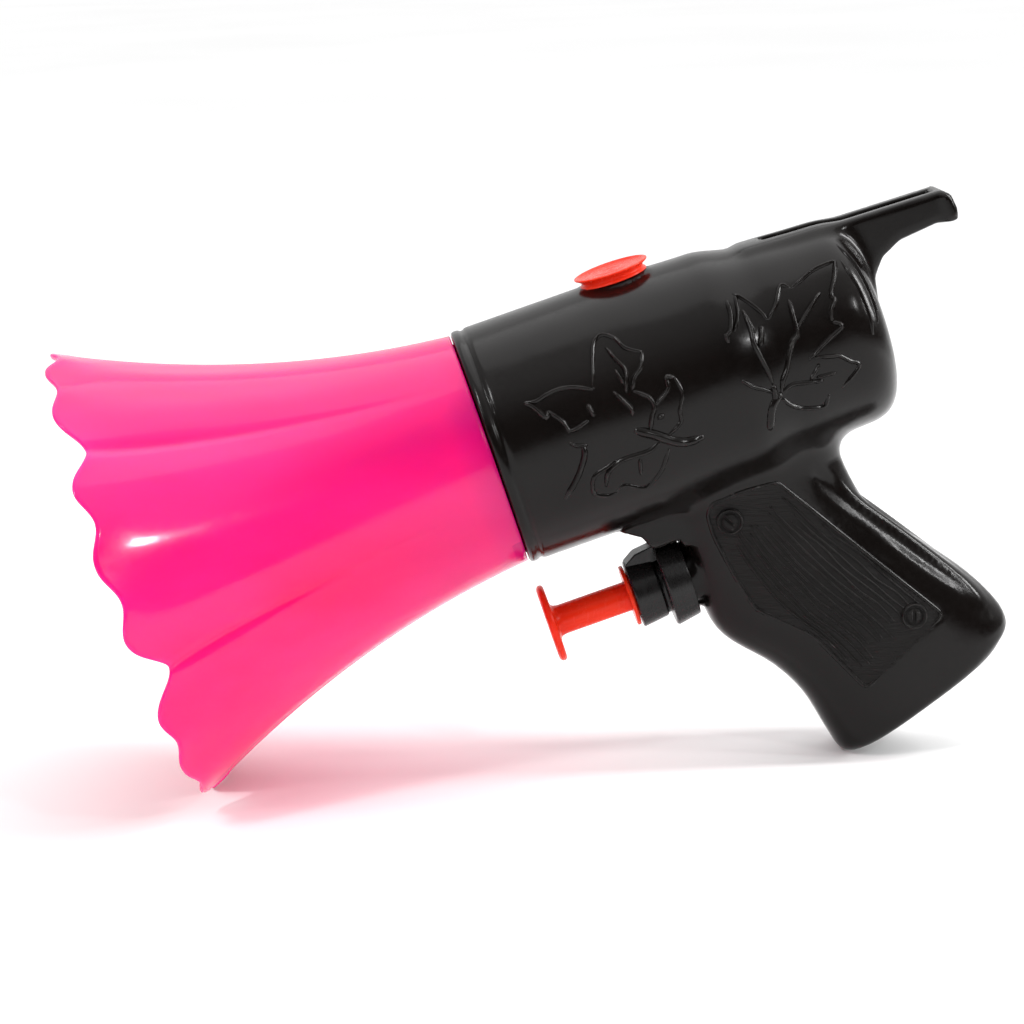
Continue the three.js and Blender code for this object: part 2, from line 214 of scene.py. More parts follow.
class Nodes:
    """A small helper that adds and links shader nodes."""

    def __init__(self, name):
        self.material = bpy.data.materials.new(name)
        self.material.use_nodes = True
        self.tree = self.material.node_tree
        self.shader = self.tree.nodes["Principled BSDF"]

    def add(self, kind, inputs=(), **settings):
        node = self.tree.nodes.new(kind)
        for key, value in settings.items():
            setattr(node, key, value)
        for socket, value in dict(inputs).items():
            if isinstance(value, bpy.types.NodeSocket):
                self.tree.links.new(value, node.inputs[socket])
            else:
                node.inputs[socket].default_value = value
        return node

    def place(self, scale=(1, 1, 1)):
        """Object coordinates, scaled."""
        where = self.add("ShaderNodeTexCoord").outputs["Object"]
        return self.add("ShaderNodeMapping", {"Vector": where, "Scale": scale}).outputs[0]

    def noise(self, scale, detail=3.0, rough=0.5, stretch=(1, 1, 1)):
        made = self.add("ShaderNodeTexNoise", {"Vector": self.place(stretch), "Scale": scale,
                                              "Detail": detail, "Roughness": rough})
        return made.outputs["Fac"]

    def calculate(self, operation, first, second):
        return self.add("ShaderNodeMath", {0: first, 1: second}, operation=operation).outputs[0]

    def spread(self, value, low, high, start=0.3, end=0.7):
        """value from start to end, mapped to low to high."""
        made = self.add("ShaderNodeMapRange", {"Value": value, "From Min": start, "From Max": end,
                                              "To Min": low, "To Max": high})
        return made.outputs[0]

    def blend(self, share, first, second):
        """The first colour where share is 0 and the second where it is 1. The first may be a socket."""
        first = first if isinstance(first, bpy.types.NodeSocket) else (*first, 1)
        colours = {0: share, 6: first, 7: (*second, 1)}
        return self.add("ShaderNodeMix", colours, data_type="RGBA").outputs[2]

    def bump(self, height, strength, distance, under=None):
        made = self.add("ShaderNodeBump", {"Height": height, "Strength": strength, "Distance": distance})
        if under is not None:
            self.tree.links.new(under, made.inputs["Normal"])
        return made.outputs[0]

    def wear_and_highlight(self, colour, paler, share=0.6):
        """A colour that turns paler on raised edges, in patches: edge wear, and on the black body also a
        painted highlight on the raised lines.
        """
        pointy = self.spread(self.add("ShaderNodeNewGeometry").outputs["Pointiness"], 0, share, 0.53, 0.64)
        patches = self.spread(self.noise(420, 3, 0.6), 0, 1, 0.42, 0.6)
        return self.blend(self.calculate("MULTIPLY", pointy, patches), colour, paler)

    def feed(self, **sockets):
        for name, value in sockets.items():
            socket = self.shader.inputs[name.replace("_", " ")]
            if isinstance(value, bpy.types.NodeSocket):
                self.tree.links.new(value, socket)
            else:
                socket.default_value = value
        return self.material


def moulded(name, dark, light, rough, ripple=0.25, coat=0.0, shine=0.5, sss=0.0, sss_radius=(1, 1, 1)):
    """Moulded plastic: slow colour drift, handling marks, a slightly rippled skin and paler worn edges."""
    n = Nodes(name)
    drift = n.spread(n.noise(45, 2), 0, 1)
    colour = n.wear_and_highlight(n.blend(drift, dark, light), tuple(min(1, 1.3 * c + 0.02) for c in light))
    marks = n.noise(900, 4, 0.65, (1, 1, 0.25))
    roughness = n.spread(marks, rough * 0.8, rough * 1.35, 0.35, 0.75)
    slow = n.bump(n.noise(130, 1), ripple, 0.0004)
    fine = n.bump(n.noise(2600, 2), 0.04, 0.0001, slow)
    return n.feed(Base_Color=colour, Roughness=roughness, Normal=fine, IOR=1.47, Specular_IOR_Level=shine,
                  Coat_Weight=coat, Coat_Roughness=0.06, Subsurface_Weight=sss, Subsurface_Radius=sss_radius,
                  Subsurface_Scale=0.006)


def black_material():
    """The blow-moulded black, with the wood grain of the grip panels from the mesh's panel attribute."""
    n = Nodes("black_blown_plastic")
    drift = n.spread(n.noise(40, 2), 0, 1)
    colour = n.blend(drift, (0.0030, 0.0022, 0.0019), (0.0050, 0.0038, 0.0034))
    # painted highlight as well as wear: raised leaf lines, ribs and edges turn paler, standing in for their
    # glints
    colour = n.wear_and_highlight(colour, (0.07, 0.066, 0.064), 0.6)
    panel = n.add("ShaderNodeAttribute", attribute_name="panel").outputs["Fac"]
    marks = n.noise(800, 5, 0.7)
    plain_rough = n.spread(marks, 0.15, 0.27, 0.35, 0.75)
    rough = n.calculate("ADD", plain_rough, n.spread(panel, 0, 0.14, 0, 1))
    slow = n.bump(n.noise(110, 1), 0.22, 0.0005)
    grain = n.noise(150, 6, 0.7, (1.2, 1.2, 9))
    grained = n.bump(n.calculate("MULTIPLY", n.spread(grain, 0, 1), panel), 0.5, 0.00035, slow)
    fine = n.bump(n.noise(2400, 3), 0.06, 0.0001, grained)
    return n.feed(Base_Color=colour, Roughness=rough, Normal=fine, IOR=1.46, Specular_IOR_Level=0.22)


def bell_material():
    """Milky hot-pink plastic that lets light through, with a drifting streaky tone, and painted shade: darker
    where the mesh marks shade near the neck.
    """
    n = Nodes("pink_milky_plastic")
    streak = n.noise(30, 3, 0.5, (0.35, 1.4, 1.4))
    colour = n.blend(n.spread(streak, 0, 1, 0.35, 0.7), (0.98, 0.015, 0.2), (0.84, 0.005, 0.135))
    # painted shade: deeper pink where the bell's mesh marks shade near the neck
    deep = n.add("ShaderNodeAttribute", attribute_name="painted_shade").outputs["Fac"]
    colour = n.blend(deep, colour, (0.62, 0.0, 0.14))
    marks = n.noise(700, 4, 0.65)
    roughness = n.spread(marks, 0.13, 0.24, 0.35, 0.75)
    slow = n.bump(n.noise(90, 1), 0.18, 0.0006)
    fine = n.bump(n.noise(2200, 2), 0.04, 0.0001, slow)
    return n.feed(Base_Color=colour, Roughness=roughness, Normal=fine, IOR=1.47, Specular_IOR_Level=0.2,
                  Coat_Weight=0.2, Coat_Roughness=0.06, Subsurface_Weight=0.7,
                  Subsurface_Radius=(1.0, 0.1, 0.4), Subsurface_Scale=0.01)


def clear_material(name, tint, rough):
    """Milky clear plastic of the pump's inner parts."""
    n = Nodes(name)
    cloud = n.spread(n.noise(160, 3), 0, 1)
    colour = n.blend(cloud, tint, tuple(c * 0.9 for c in tint))
    roughness = n.spread(n.noise(900, 3), rough, rough * 1.8)
    bump = n.bump(n.noise(500, 2), 0.08, 0.0002)
    return n.feed(Base_Color=colour, Roughness=roughness, Normal=bump, IOR=1.49, Transmission_Weight=0.55)


def rubber_material():
    n = Nodes("black_rubber")
    bloom = n.spread(n.noise(260, 4, 0.6), 0, 1)
    colour = n.blend(bloom, (0.018, 0.018, 0.019), (0.034, 0.033, 0.032))
    roughness = n.spread(n.noise(1200, 3), 0.55, 0.8)
    return n.feed(Base_Color=colour, Roughness=roughness, Normal=n.bump(n.noise(3000, 3), 0.2, 0.0001))


def steel_material():
    n = Nodes("drawn_steel")
    lines = n.noise(1400, 3, 0.6, (1, 1, 0.15))
    colour = n.blend(n.spread(lines, 0, 1), (0.56, 0.57, 0.58), (0.72, 0.72, 0.71))
    roughness = n.spread(n.noise(900, 4), 0.16, 0.34)
    return n.feed(Base_Color=colour, Metallic=1.0, Roughness=roughness, Normal=n.bump(lines, 0.1, 0.00005))


BLACK = black_material()
COLLAR_BLACK = moulded("black_moulded_collar", (0.006, 0.0055, 0.0055), (0.011, 0.010, 0.010), 0.28, 0.15, 0.05,
                       0.28)
PINK = bell_material()
RED = moulded("orange_red_plastic", (0.78, 0.027, 0.009), (0.9, 0.045, 0.012), 0.25, 0.15, 0.0, 0.17,
              sss=0.2, sss_radius=(1.0, 0.2, 0.08))
CLEAR = clear_material("milky_clear_plastic", (0.86, 0.88, 0.88), 0.14)
TUBE = clear_material("soft_clear_tube", (0.82, 0.84, 0.80), 0.24)
RUBBER = rubber_material()
STEEL = steel_material()

# ---------------------------------------------------------------- body: a field, negative inside

BARREL_R = 24.2
BARREL_END = 81.3
SPIGOT_R = 21.6
WALL = 2.3
PLUG_U = 34
SPOUT_BORE = 2.5
TAIL_HALF = 5
PANEL_SINK = 0.25  # how far the grip panels lie below the grip
PANEL_FROM_Y = 6  # the panels are only on the sides, further out than this
GRIP_POWER = 2.78  # roundness of the grip's section: 2 is an ellipse

# Grip sections from the barrel down: front u, front v, back u, back v, half thickness
GRIP_SECTIONS = [
    (30, -18, 66, -14, 11), (30, -30, 66, -27, 11), (30.2, -44, 69, -38.5, 11.5),
    (32, -51.9, 76.2, -47.6, 12), (39.4, -60.9, 83, -56.6, 12), (43.7, -68.9, 87, -64.1, 12),
    (45.9, -77.7, 87.8, -68.6, 12), (47.2, -83.2, 86.2, -71, 11.8), (47.6, -84.4, 85.6, -72.3, 11.6),
]
TAIL_OUTLINE = [
    (56, 16), (79, 5), (81.2, 3), (82.6, 7.4), (85.4, 10.8), (89.5, 12.8), (97.5, 13.6),
    (100.3, 12.9), (101.7, 12.9), (102.2, 15.2), (101.7, 18.2), (100.3, 19.5), (97, 19.6), (59.6, 20.8),
]
BLOCK_OUTLINE = [
    (18.5, -20), (19.5, -24), (22.5, -26), (23.8, -29.1), (29.5, -29.1), (30, -31), (34, -31), (38, -20),
]
PANEL_OUTLINE = [
    (43.5, -22.6), (51, -23.2), (74.6, -60.6), (55.2, -70), (48.4, -55.6), (39, -46.5), (37, -37.5),
    (35.8, -30), (35.9, -25.4), (37.6, -23.2),
]


def smooth_min(a, b, reach):
    overlap = np.maximum(reach - np.abs(a - b), 0) / reach
    return np.minimum(a, b) - overlap ** 2 * reach / 4


def smooth_max(a, b, reach):
    return -smooth_min(-a, -b, reach)


def ease(value, start, end):
    t = np.clip((value - start) / (end - start), 0, 1)
    return t * t * (3 - 2 * t)


def outline_distance(u, v, outline):
    """Distance to a closed outline in the side view, negative inside."""
    nearest = np.full(np.broadcast(u, v).shape, 1e9)
    inside = np.zeros(nearest.shape, bool)
    for (u0, v0), (u1, v1) in zip(outline, outline[1:] + outline[:1]):
        du, dv = u1 - u0, v1 - v0
        t = np.clip(((u - u0) * du + (v - v0) * dv) / (du * du + dv * dv), 0, 1)
        nearest = np.minimum(nearest, np.hypot(u - u0 - t * du, v - v0 - t * dv))
        crossing = (v0 > v) != (v1 > v)
        inside ^= crossing & (u < u0 + (v - v0) * du / (dv or 1))
    return np.where(inside, -nearest, nearest)


def slab(side, across, half, edge):
    """A side-view outline made half thick each way, with rounded edges."""
    a = side + edge
    b = np.abs(across) - half + edge
    return np.minimum(np.maximum(a, b), 0) + np.hypot(np.maximum(a, 0), np.maximum(b, 0)) - edge


def barrel_radius(u):
    radius = BARREL_R - 0.8 * ease(u, 28, 50) - 1.9 * ease(u, 49, 59.5) - 0.9 * ease(u, 59, 73)
    groove = 0.4 * np.exp(-((u - 2.3) / 0.55) ** 2)
    return radius - groove


def barrel_field(u, y, v):
    """The barrel, with a squared-off dome at the back."""
    r = np.hypot(y, v)
    dome_start, power = 70.0, 3.7
    length = BARREL_END - dome_start
    radius = barrel_radius(u)
    a = r / radius
    b = np.maximum(u - dome_start, 0) / length
    size = np.maximum((a ** power + b ** power) ** (1 / power), 1e-3)
    slope = np.hypot(a ** (power - 1) / radius, b ** (power - 1) / length) * size ** (1 - power)
    lateral = (size - 1) / np.maximum(slope, 1e-4)
    return smooth_max(lateral, -u, 0.9)


def spigot_field(u, y, v):
    bead = 0.6 * ease(u, -5.5, -4.9) * (1 - ease(u, -4.0, -3.4))
    radial = np.hypot(y, v) - SPIGOT_R - bead
    spigot = smooth_max(smooth_max(radial, -7 - u, 0.8), u - 1, 0.4)
    cone = np.hypot(y, v) - np.interp(u, [-17, -7], [4, 6])
    spout = smooth_max(smooth_max(cone, -17 - u, 0.5), u + 5, 0.4)
    return smooth_min(spigot, spout, 0.8)


def grip_place(u, v):
    """Where a side-view point lies in the grip: along its section (-1 front, 1 back), the section's
    half length and half thickness, and how far it is below the last section."""
    rows = np.array(GRIP_SECTIONS, float)
    rows = smooth_route(rows, 5)
    below = [(v - fv) * (bu - fu) - (u - fu) * (bv - fv) for fu, fv, bu, bv, _ in rows]
    below = [-b / math.hypot(row[2] - row[0], row[3] - row[1]) for b, row in zip(below, rows)]
    place = np.zeros(np.broadcast(u, v).shape)
    for first, second in zip(below, below[1:]):
        gap = np.where(np.abs(first - second) < 1e-6, 1e-6, first - second)
        place = place + np.clip(first / gap, 0, 1)
    values = [np.interp(place, np.arange(len(rows)), rows[:, c]) for c in range(5)]
    fu, fv, bu, bv, half = values
    du, dv = bu - fu, bv - fv
    along = 2 * ((u - fu) * du + (v - fv) * dv) / (du * du + dv * dv) - 1
    return along, np.hypot(du, dv) / 2, half, below[-1]


def grip_field(u, y, v):
    along, reach, half, past_end = grip_place(u, v)
    a = np.abs(along)
    b = np.abs(y) / half
    size = np.maximum((a ** GRIP_POWER + b ** GRIP_POWER) ** (1 / GRIP_POWER), 1e-3)
    slope = np.hypot(a ** (GRIP_POWER - 1) / reach, b ** (GRIP_POWER - 1) / half) * size ** (1 - GRIP_POWER)
    side = (size - 1) / np.maximum(slope, 1e-4)
    return smooth_max(smooth_max(side, past_end, 3.0), v + 10, 2.0)


def spindle_field(u, y, v, start, end, radius):
    """A rod between two points, thickest in the middle."""
    start, end = np.array(start, float), np.array(end, float)
    d = end - start
    t = np.clip(((u - start[0]) * d[0] + (y - start[1]) * d[1] + (v - start[2]) * d[2]) / (d @ d), 0, 1)
    away = np.sqrt((u - start[0] - t * d[0]) ** 2 + (y - start[1] - t * d[1]) ** 2
                   + (v - start[2] - t * d[2]) ** 2)
    return away - radius * (4 * t * (1 - t) + 0.02) ** 0.35


def rod_field(u, y, v, radius, start, end, edge=0.3):
    """A rod along the pump's axis."""
    return smooth_max(smooth_max(np.hypot(y, v - PUMP_V) - radius, start - u, edge), u - end, edge)


def post_field(u, y, v, radius, start, end, edge=0.3):
    """A post standing at the filler."""
    return smooth_max(smooth_max(np.hypot(y, u - PLUG_U) - radius, start - v, edge), v - end, edge)


def tank_field(u, y, v):
    return smooth_min(barrel_field(u, y, v), grip_field(u, y, v), 4.5)


def outside_field(u, y, v):
    """The whole outside of the body, its bores still filled."""
    tank = tank_field(u, y, v)
    rib = spindle_field(u, np.abs(y), v, (56.5, 6.0, -24.5), (83, 6.4, -63), 3.2)
    scoop = spindle_field(u, np.abs(y), v, (59.4, 10.2, -25.2), (84.2, 10.4, -61), 2.4)
    tank = smooth_max(smooth_min(tank, rib, 2.0), -scoop, 1.5)
    tail = slab(outline_distance(u, v, TAIL_OUTLINE), y, TAIL_HALF + 0.5 * ease(u, 98.6, 100.4), 1.0)
    block = slab(outline_distance(u, v, BLOCK_OUTLINE), y, 7.5, 0.6)
    whole = smooth_min(tank, tail, 3.0)
    whole = smooth_min(whole, block, 1.2)
    whole = smooth_min(whole, rod_field(u, y, v, 6.6, 27, 33), 1.2)
    whole = smooth_min(whole, post_field(u, y, v, 6.8, 15, 23.9), 1.0)
    return np.minimum(whole, spigot_field(u, y, v))


def panel_share(u, v):
    """1 inside the grip panel and 0 outside it."""
    return 1 - ease(outline_distance(u, v, PANEL_OUTLINE), -0.5, 0.1)


def body_field(u, y, v):
    """The shell: the outside with its hollow, bores, top channel and sunk grip panels."""
    tank = tank_field(u, y, v)
    outer = outside_field(u, y, v) + PANEL_SINK * panel_share(u, v) * (np.abs(y) > PANEL_FROM_Y)
    hollow = np.maximum(tank + WALL, -5.5 - u)
    spigot_hollow = np.maximum(np.maximum(np.hypot(y, v) - SPIGOT_R + WALL, -5.5 - u), u - 4)
    hollow = smooth_min(hollow, spigot_hollow, 1.5)
    channel = np.maximum(np.maximum(np.abs(y) - 1.9, 64 - u), 19.1 - 0.03 * (u - 64) - v)
    channel = np.maximum(channel, u - 98.6)
    spout_bore = np.maximum(np.hypot(y, v) - SPOUT_BORE, u)
    solid = smooth_max(outer, -hollow, 0.4)
    for bore in (rod_field(u, y, v, 5.4, 20, 36), post_field(u, y, v, 5.2, 18, 30), channel, spout_bore):
        solid = smooth_max(solid, -bore, 0.35)
    return solid


def slope_of(field, points, step=0.15):
    """The field's gradient at points."""
    columns = []
    for axis in range(3):
        shift = np.zeros(3)
        shift[axis] = step
        columns.append((field(*(points + shift).T) - field(*(points - shift).T)) / (2 * step))
    return np.stack(columns, 1)


def onto(field, points, times=4, limit=0.5):
    """Points moved onto the surface where the field is zero."""
    for _ in range(times):
        g = slope_of(field, points)
        move = field(*points.T)[:, None] * g / np.maximum((g * g).sum(1, keepdims=True), 0.05)
        length = np.linalg.norm(move, axis=1, keepdims=True)
        points = points - move * np.minimum(1, limit / np.maximum(length, 1e-9))
    return points


def skin(field, lines):
    """A mesh of the surface where the field is zero, with one point in each grid cell that it crosses."""
    lines = [np.asarray(line, float) for line in lines]
    u, y, v = np.ix_(*lines)
    values = field(u, y, v) + np.zeros((len(lines[0]), len(lines[1]), len(lines[2])))
    shape = tuple(n - 1 for n in values.shape)
    total = np.zeros((*shape, 3))
    hits = np.zeros(shape)

    def corner(offset):
        return tuple(slice(o, o + n) for o, n in zip(offset, shape))

    low = [line[:-1] for line in lines]
    size = [np.diff(line) for line in lines]
    for axis in range(3):
        for other in itertools.product((0, 1), repeat=2):
            start = list(other)
            start.insert(axis, 0)
            end = list(start)
            end[axis] = 1
            a, b = values[corner(start)], values[corner(end)]
            crossing = (a < 0) != (b < 0)
            share = np.where(crossing, a / np.where(crossing, a - b, 1), 0)
            hits += crossing
            for k in range(3):
                step = share if k == axis else start[k]
                where = [1, 1, 1]
                where[k] = -1
                total[..., k] += crossing * (low[k].reshape(where) + size[k].reshape(where) * step)
    cells = hits > 0
    index = np.full(shape, -1)
    index[cells] = np.arange(cells.sum())
    points = total[cells] / hits[cells][:, None]
    faces = []
    for axis in range(3):
        b, c = [k for k in range(3) if k != axis]
        first = [slice(None)] * 3
        second = [slice(None)] * 3
        first[axis] = slice(0, -1)
        second[axis] = slice(1, None)
        inside = values < 0
        change = inside[tuple(first)] != inside[tuple(second)]
        change_out = inside[tuple(first)] & change
        where = np.argwhere(change)
        keep = (where[:, b] > 0) & (where[:, c] > 0) & (where[:, b] < shape[b]) & (where[:, c] < shape[c])
        where = where[keep]
        outward = change_out[tuple(where.T)]
        quad = []
        for db, dc in ((0, 0), (1, 0), (1, 1), (0, 1)):
            cell = where.copy()
            cell[:, b] -= db
            cell[:, c] -= dc
            quad.append(index[tuple(cell.T)])
        quad = np.stack(quad, 1)
        flip = outward if axis != 1 else ~outward
        quad[~flip] = quad[~flip][:, ::-1]
        faces.append(quad)
    return points, np.concatenate(faces)


def grid_lines(low, high, cell, fine=()):
    """Grid lines from low to high, closer together inside the fine spans (start, end, cell)."""
    made = [low]
    while made[-1] < high:
        step = min([c for start, end, c in fine if start <= made[-1] < end] + [cell])
        made.append(made[-1] + step)
    return np.array(made)


# ---------------------------------------------------------------- raised lines on the body


def drop(u, v, side):
    """Side-view points dropped onto the body's outside, on the side -1 (near) or 1 (far)."""
    inner = np.zeros(len(u))
    outer = np.full(len(u), 30.0)
    for _ in range(26):
        middle = (inner + outer) / 2
        out = outside_field(u, side * middle, v) > 0
        outer = np.where(out, middle, outer)
        inner = np.where(out, inner, middle)
    return np.stack([u, side * inner, v], 1)


def raised(points, side, width, height, step=0.45, taper=True, curved=True):
    """A low rounded ridge along side-view points, sunk a little into the body."""
    route = smooth_route(points, 14) if curved else np.array(points)
    on = drop(route[:, 0], route[:, 1], side)
    length = np.concatenate([[0], np.cumsum(np.linalg.norm(np.diff(on, axis=0), axis=1))])
    count = max(4, int(length[-1] / step))
    at = np.linspace(0, length[-1], count)
    on = np.stack([np.interp(at, length, on[:, k]) for k in range(3)], 1)
    normal = slope_of(outside_field, on)
    normal /= np.linalg.norm(normal, axis=1, keepdims=True)
    tangent = np.gradient(on, axis=0)
    tangent /= np.linalg.norm(tangent, axis=1, keepdims=True)
    across = np.cross(tangent, normal)
    share = at / at[-1]
    end = np.minimum(1, 5 * np.minimum(share, 1 - share) + 0.3) if taper else np.ones(count)
    section = np.linspace(-1, 1, 7)
    points = []
    for i in range(count):
        half, top = width / 2 * end[i] ** 0.5, height * end[i]
        for x in section:
            rise = top * math.cos(x * math.pi / 2) ** 1.5 - 0.08
            points.append(on[i] + across[i] * half * x + normal[i] * rise)
        points.append(on[i] - normal[i] * 0.4)
    ring = len(section) + 1
    faces = []
    for i, k in itertools.product(range(count - 1), range(ring)):
        n = (k + 1) % ring
        faces.append([i * ring + k, i * ring + n, (i + 1) * ring + n, (i + 1) * ring + k])
    faces.append([k for k in range(ring)][::-1])
    faces.append([(count - 1) * ring + k for k in range(ring)])
    return np.array(points), faces


def moulded_screw(u, v, side, turn, radius=2.4):
    """A slotted screw head moulded into the grip: a rim round a sunk dome with a slot."""
    centre = drop(np.array([float(u)]), np.array([float(v)]), side)[0]
    normal = slope_of(outside_field, centre[None])[0]
    normal /= np.linalg.norm(normal)
    across = np.cross(normal, (0, 0, 1.0))
    across /= np.linalg.norm(across)
    up = np.cross(normal, across)
    rings, segments = 16, 48
    points, faces = [], []
    for i in range(rings + 1):
        r = radius * 1.12 * i / rings
        for k in range(segments):
            angle = 2 * math.pi * k / segments
            x, z = r * math.cos(angle), r * math.sin(angle)
            rim = math.exp(-((r - radius) / 0.2) ** 2)
            dome = max(0, 1 - (r / (radius * 0.72)) ** 2)
            slot = math.exp(-((x * math.cos(turn) + z * math.sin(turn)) / 0.28) ** 4)
            height = 0.5 * rim + 0.55 * dome ** 0.6 * (1 - 0.85 * slot) - 0.12
            if i == rings:
                height = -0.5
            points.append(centre + across * x + up * z + normal * height)
    for i, k in itertools.product(range(rings), range(segments)):
        n = (k + 1) % segments
        faces.append([i * segments + k, i * segments + n, (i + 1) * segments + n, (i + 1) * segments + k])
    faces.append([rings * segments + k for k in range(segments)])
    return np.array(points), faces


# Leaf sprigs, as lines in the side view, each with its ridge's width and height: the front sprig's
# leaves, veins and twig, then the rear's.
LEAF_LINES = [
    # front sprig: upper leaf
    ([(22, 8.8), (22.9, 11.3), (24.9, 16), (27, 17.2), (29.2, 16), (30.5, 13.8), (33.2, 12.2)], 0.8, 0.42),
    ([(33.2, 12.2), (31.9, 9.6), (30.2, 8.4), (28.9, 6.2)], 0.8, 0.4),
    ([(27, 15), (28, 12.6), (28.9, 10.6), (28.7, 8.9), (27.6, 6.2)], 0.85, 0.5),
    ([(27.2, 10.9), (27.9, 7.7)], 0.7, 0.4),
    # front sprig: left leaf
    ([(22, 8.8), (18.5, 10.4), (15.7, 10.9), (13.2, 10.7), (10.8, 10.2), (8.6, 10.7)], 0.8, 0.42),
    ([(8.6, 10.7), (10, 9.5), (11.7, 6.8), (12.4, 7.9)], 0.8, 0.4),
    ([(12.4, 7.9), (14.5, 5), (15.4, 2.9), (19.3, 3.7)], 0.8, 0.42),
    ([(20, 6.6), (20.4, 3.9)], 0.9, 0.5),
    # front sprig: middle and right leaves
    ([(25.4, 7.3), (26.4, 5.5), (27.6, 3), (27.3, 1.7)], 0.85, 0.5),
    ([(28.9, 6.2), (31.5, 4), (31.9, 2), (30.8, 0.2), (29.6, -2.4)], 0.8, 0.42),
    ([(31.9, 2), (32.7, 2.5), (35.4, 4.2), (35.9, 6.4), (37.4, 5.9)], 0.8, 0.4),
    ([(37.4, 5.9), (37.8, 2.6), (36.3, -0.4), (35.7, -2.7), (32.6, -4.4)], 0.7, 0.34),
    ([(31.7, -0.4), (33.2, -0.1)], 0.9, 0.45),
    # front sprig: lower leaf and twig
    ([(30.7, -5.1), (28.3, -6), (23.4, -5.9), (21.1, -6.5), (19.3, -7.8), (18.4, -10.2)], 0.85, 0.45),
    ([(26.1, -6.9), (25.5, -10.3)], 0.7, 0.36),
    ([(22, -5.6), (19.8, -6.3), (16.7, -7.4), (15.8, -10.6), (18.1, -12.2), (20, -12.2)], 0.75, 0.36),
    ([(20, -12.2), (21.9, -11.3), (25.5, -13.3), (29, -11.4), (31.1, -8.6), (32.1, -6.9)], 0.75, 0.36),
    ([(26.8, -1.1), (29.1, -2.5), (30.9, -3.8), (33.5, -5.9), (36, -7), (39.2, -7.2)], 1.5, 0.6),
    ([(16.5, -0.2), (16.5, -1.9), (15.2, -4.3), (13.1, -6.9), (10.1, -9.7)], 1.0, 0.5),
    ([(14.3, 1.1), (15.5, -0.2), (17.5, -0.7)], 0.7, 0.36),
    # rear sprig: left leaf
    ([(52.1, 15.5), (51.7, 12.8), (50.6, 10.4), (49.6, 9.8), (49.4, 8.4)], 0.85, 0.48),
    ([(54, 15.8), (53, 12.4), (51.2, 9.9)], 0.7, 0.38),
    ([(53.6, 16.1), (54.7, 15.1), (56.1, 13.4), (57.5, 11.2), (58.1, 9.6)], 0.8, 0.42),
    ([(54.2, 12.9), (54.4, 9.7), (54, 6.7), (54.3, 4), (54.8, 0.8), (55, -2)], 0.9, 0.52),
    ([(54.2, 12.9), (54.9, 8.3)], 0.7, 0.4),
    ([(56.6, 9.2), (55.7, 7), (54.9, 5.6)], 1.0, 0.5),
    # rear sprig: upper leaf
    ([(58.1, 9.6), (60.6, 11.6), (62.9, 14.4), (64.6, 13.4)], 0.8, 0.4),
    ([(64.6, 13.4), (66.8, 14), (69.9, 14.9), (74.8, 15.2)], 0.8, 0.42),
    ([(74.8, 15.2), (73.4, 12.8), (71.4, 9.9), (71.7, 8.8), (70.4, 7.3), (69.8, 5.3)], 0.85, 0.5),
    ([(69.8, 5.3), (71.2, 3.8), (68.4, 2.5), (65.9, 1.3), (63.1, 0)], 0.85, 0.48),
    ([(63.3, 11.7), (63.1, 9.3), (62.6, 5.5), (61.4, 4.5), (59.9, 2.4), (58.5, -0.2), (57, -2.2),
      (56.1, -4.4)], 0.95, 0.55),
    ([(69.6, 11), (67.1, 9.4), (63.4, 6.8), (62.6, 5.5)], 0.85, 0.5),
    # rear sprig: trunk and lower leaf
    ([(56.1, -4.4), (54.6, -5.4), (53.3, -7), (52, -10.8)], 1.4, 0.6),
    ([(55, -2), (54.6, -5.4)], 1.0, 0.5),
    ([(49.3, 1.1), (51, -0.9), (53, -2.3), (54.7, -3.7)], 0.7, 0.38),
    ([(56.1, -4.4), (58.5, -3.6), (61, -4.1), (64.7, -5)], 0.75, 0.38),
    ([(56, -5.5), (57.4, -7.6), (59.7, -9.2), (63.5, -10.2), (65, -8.2)], 0.8, 0.42),
    ([(64.4, 0), (67.5, -1), (69, -1.4), (70.8, -3.2), (72.2, -4.8), (67.8, -7.9)], 0.75, 0.4),
    ([(62.2, -3.9), (63.9, -2.5), (64.7, -1.4)], 0.7, 0.4),
    ([(63.5, -3.9), (65.3, -4.1), (67.6, -4.4)], 0.65, 0.34),
]
REAR_RIBS = [
    ([(76.6, 17.2), (78.2, 13), (78.9, 8), (78.9, 4.4), (78.2, 1.6)], 1.1, 0.6),
    ([(75.8, 14.8), (76.9, 9.4), (77.1, 4), (76.6, 0)], 1.0, 0.5),
]
SCREWS = [(39.8, -28, 0.5), (68.8, -58.8, -0.3)]  # u, v and the slot's turn
LEAF_WIDER, LEAF_HIGHER = 1.45, 1.5


def grain_lines(count=14):
    """Fine wood-grain lines down the grip panel, which wander a little."""
    made = []
    for k in range(count):
        share = (k + 0.7) / (count + 0.4)
        top = np.array([37.5, -26]) * (1 - share) + np.array([51.5, -24]) * share
        end = np.array([55, -69.5]) * (1 - share) + np.array([74, -60.5]) * share
        from_t, to_t = 0.07 + 0.12 * rng.random(), 0.95 - 0.1 * rng.random()
        wobble = rng.normal(0, 0.16, 8)
        points = []
        for t, shift in zip(np.linspace(from_t, to_t, 8), wobble):
            bend = -3.2 * math.sin(math.pi * min(1, t * 1.3)) * (1 - share)
            u, v = top * (1 - t) + end * t
            points.append((u + bend * 0.6 + shift, v + bend * 0.5 + shift * 0.3))
        inside = [p for p in points if outline_distance(*map(np.array, p), PANEL_OUTLINE) < -0.9]
        if len(inside) > 3:
            made.append(inside)
    return made


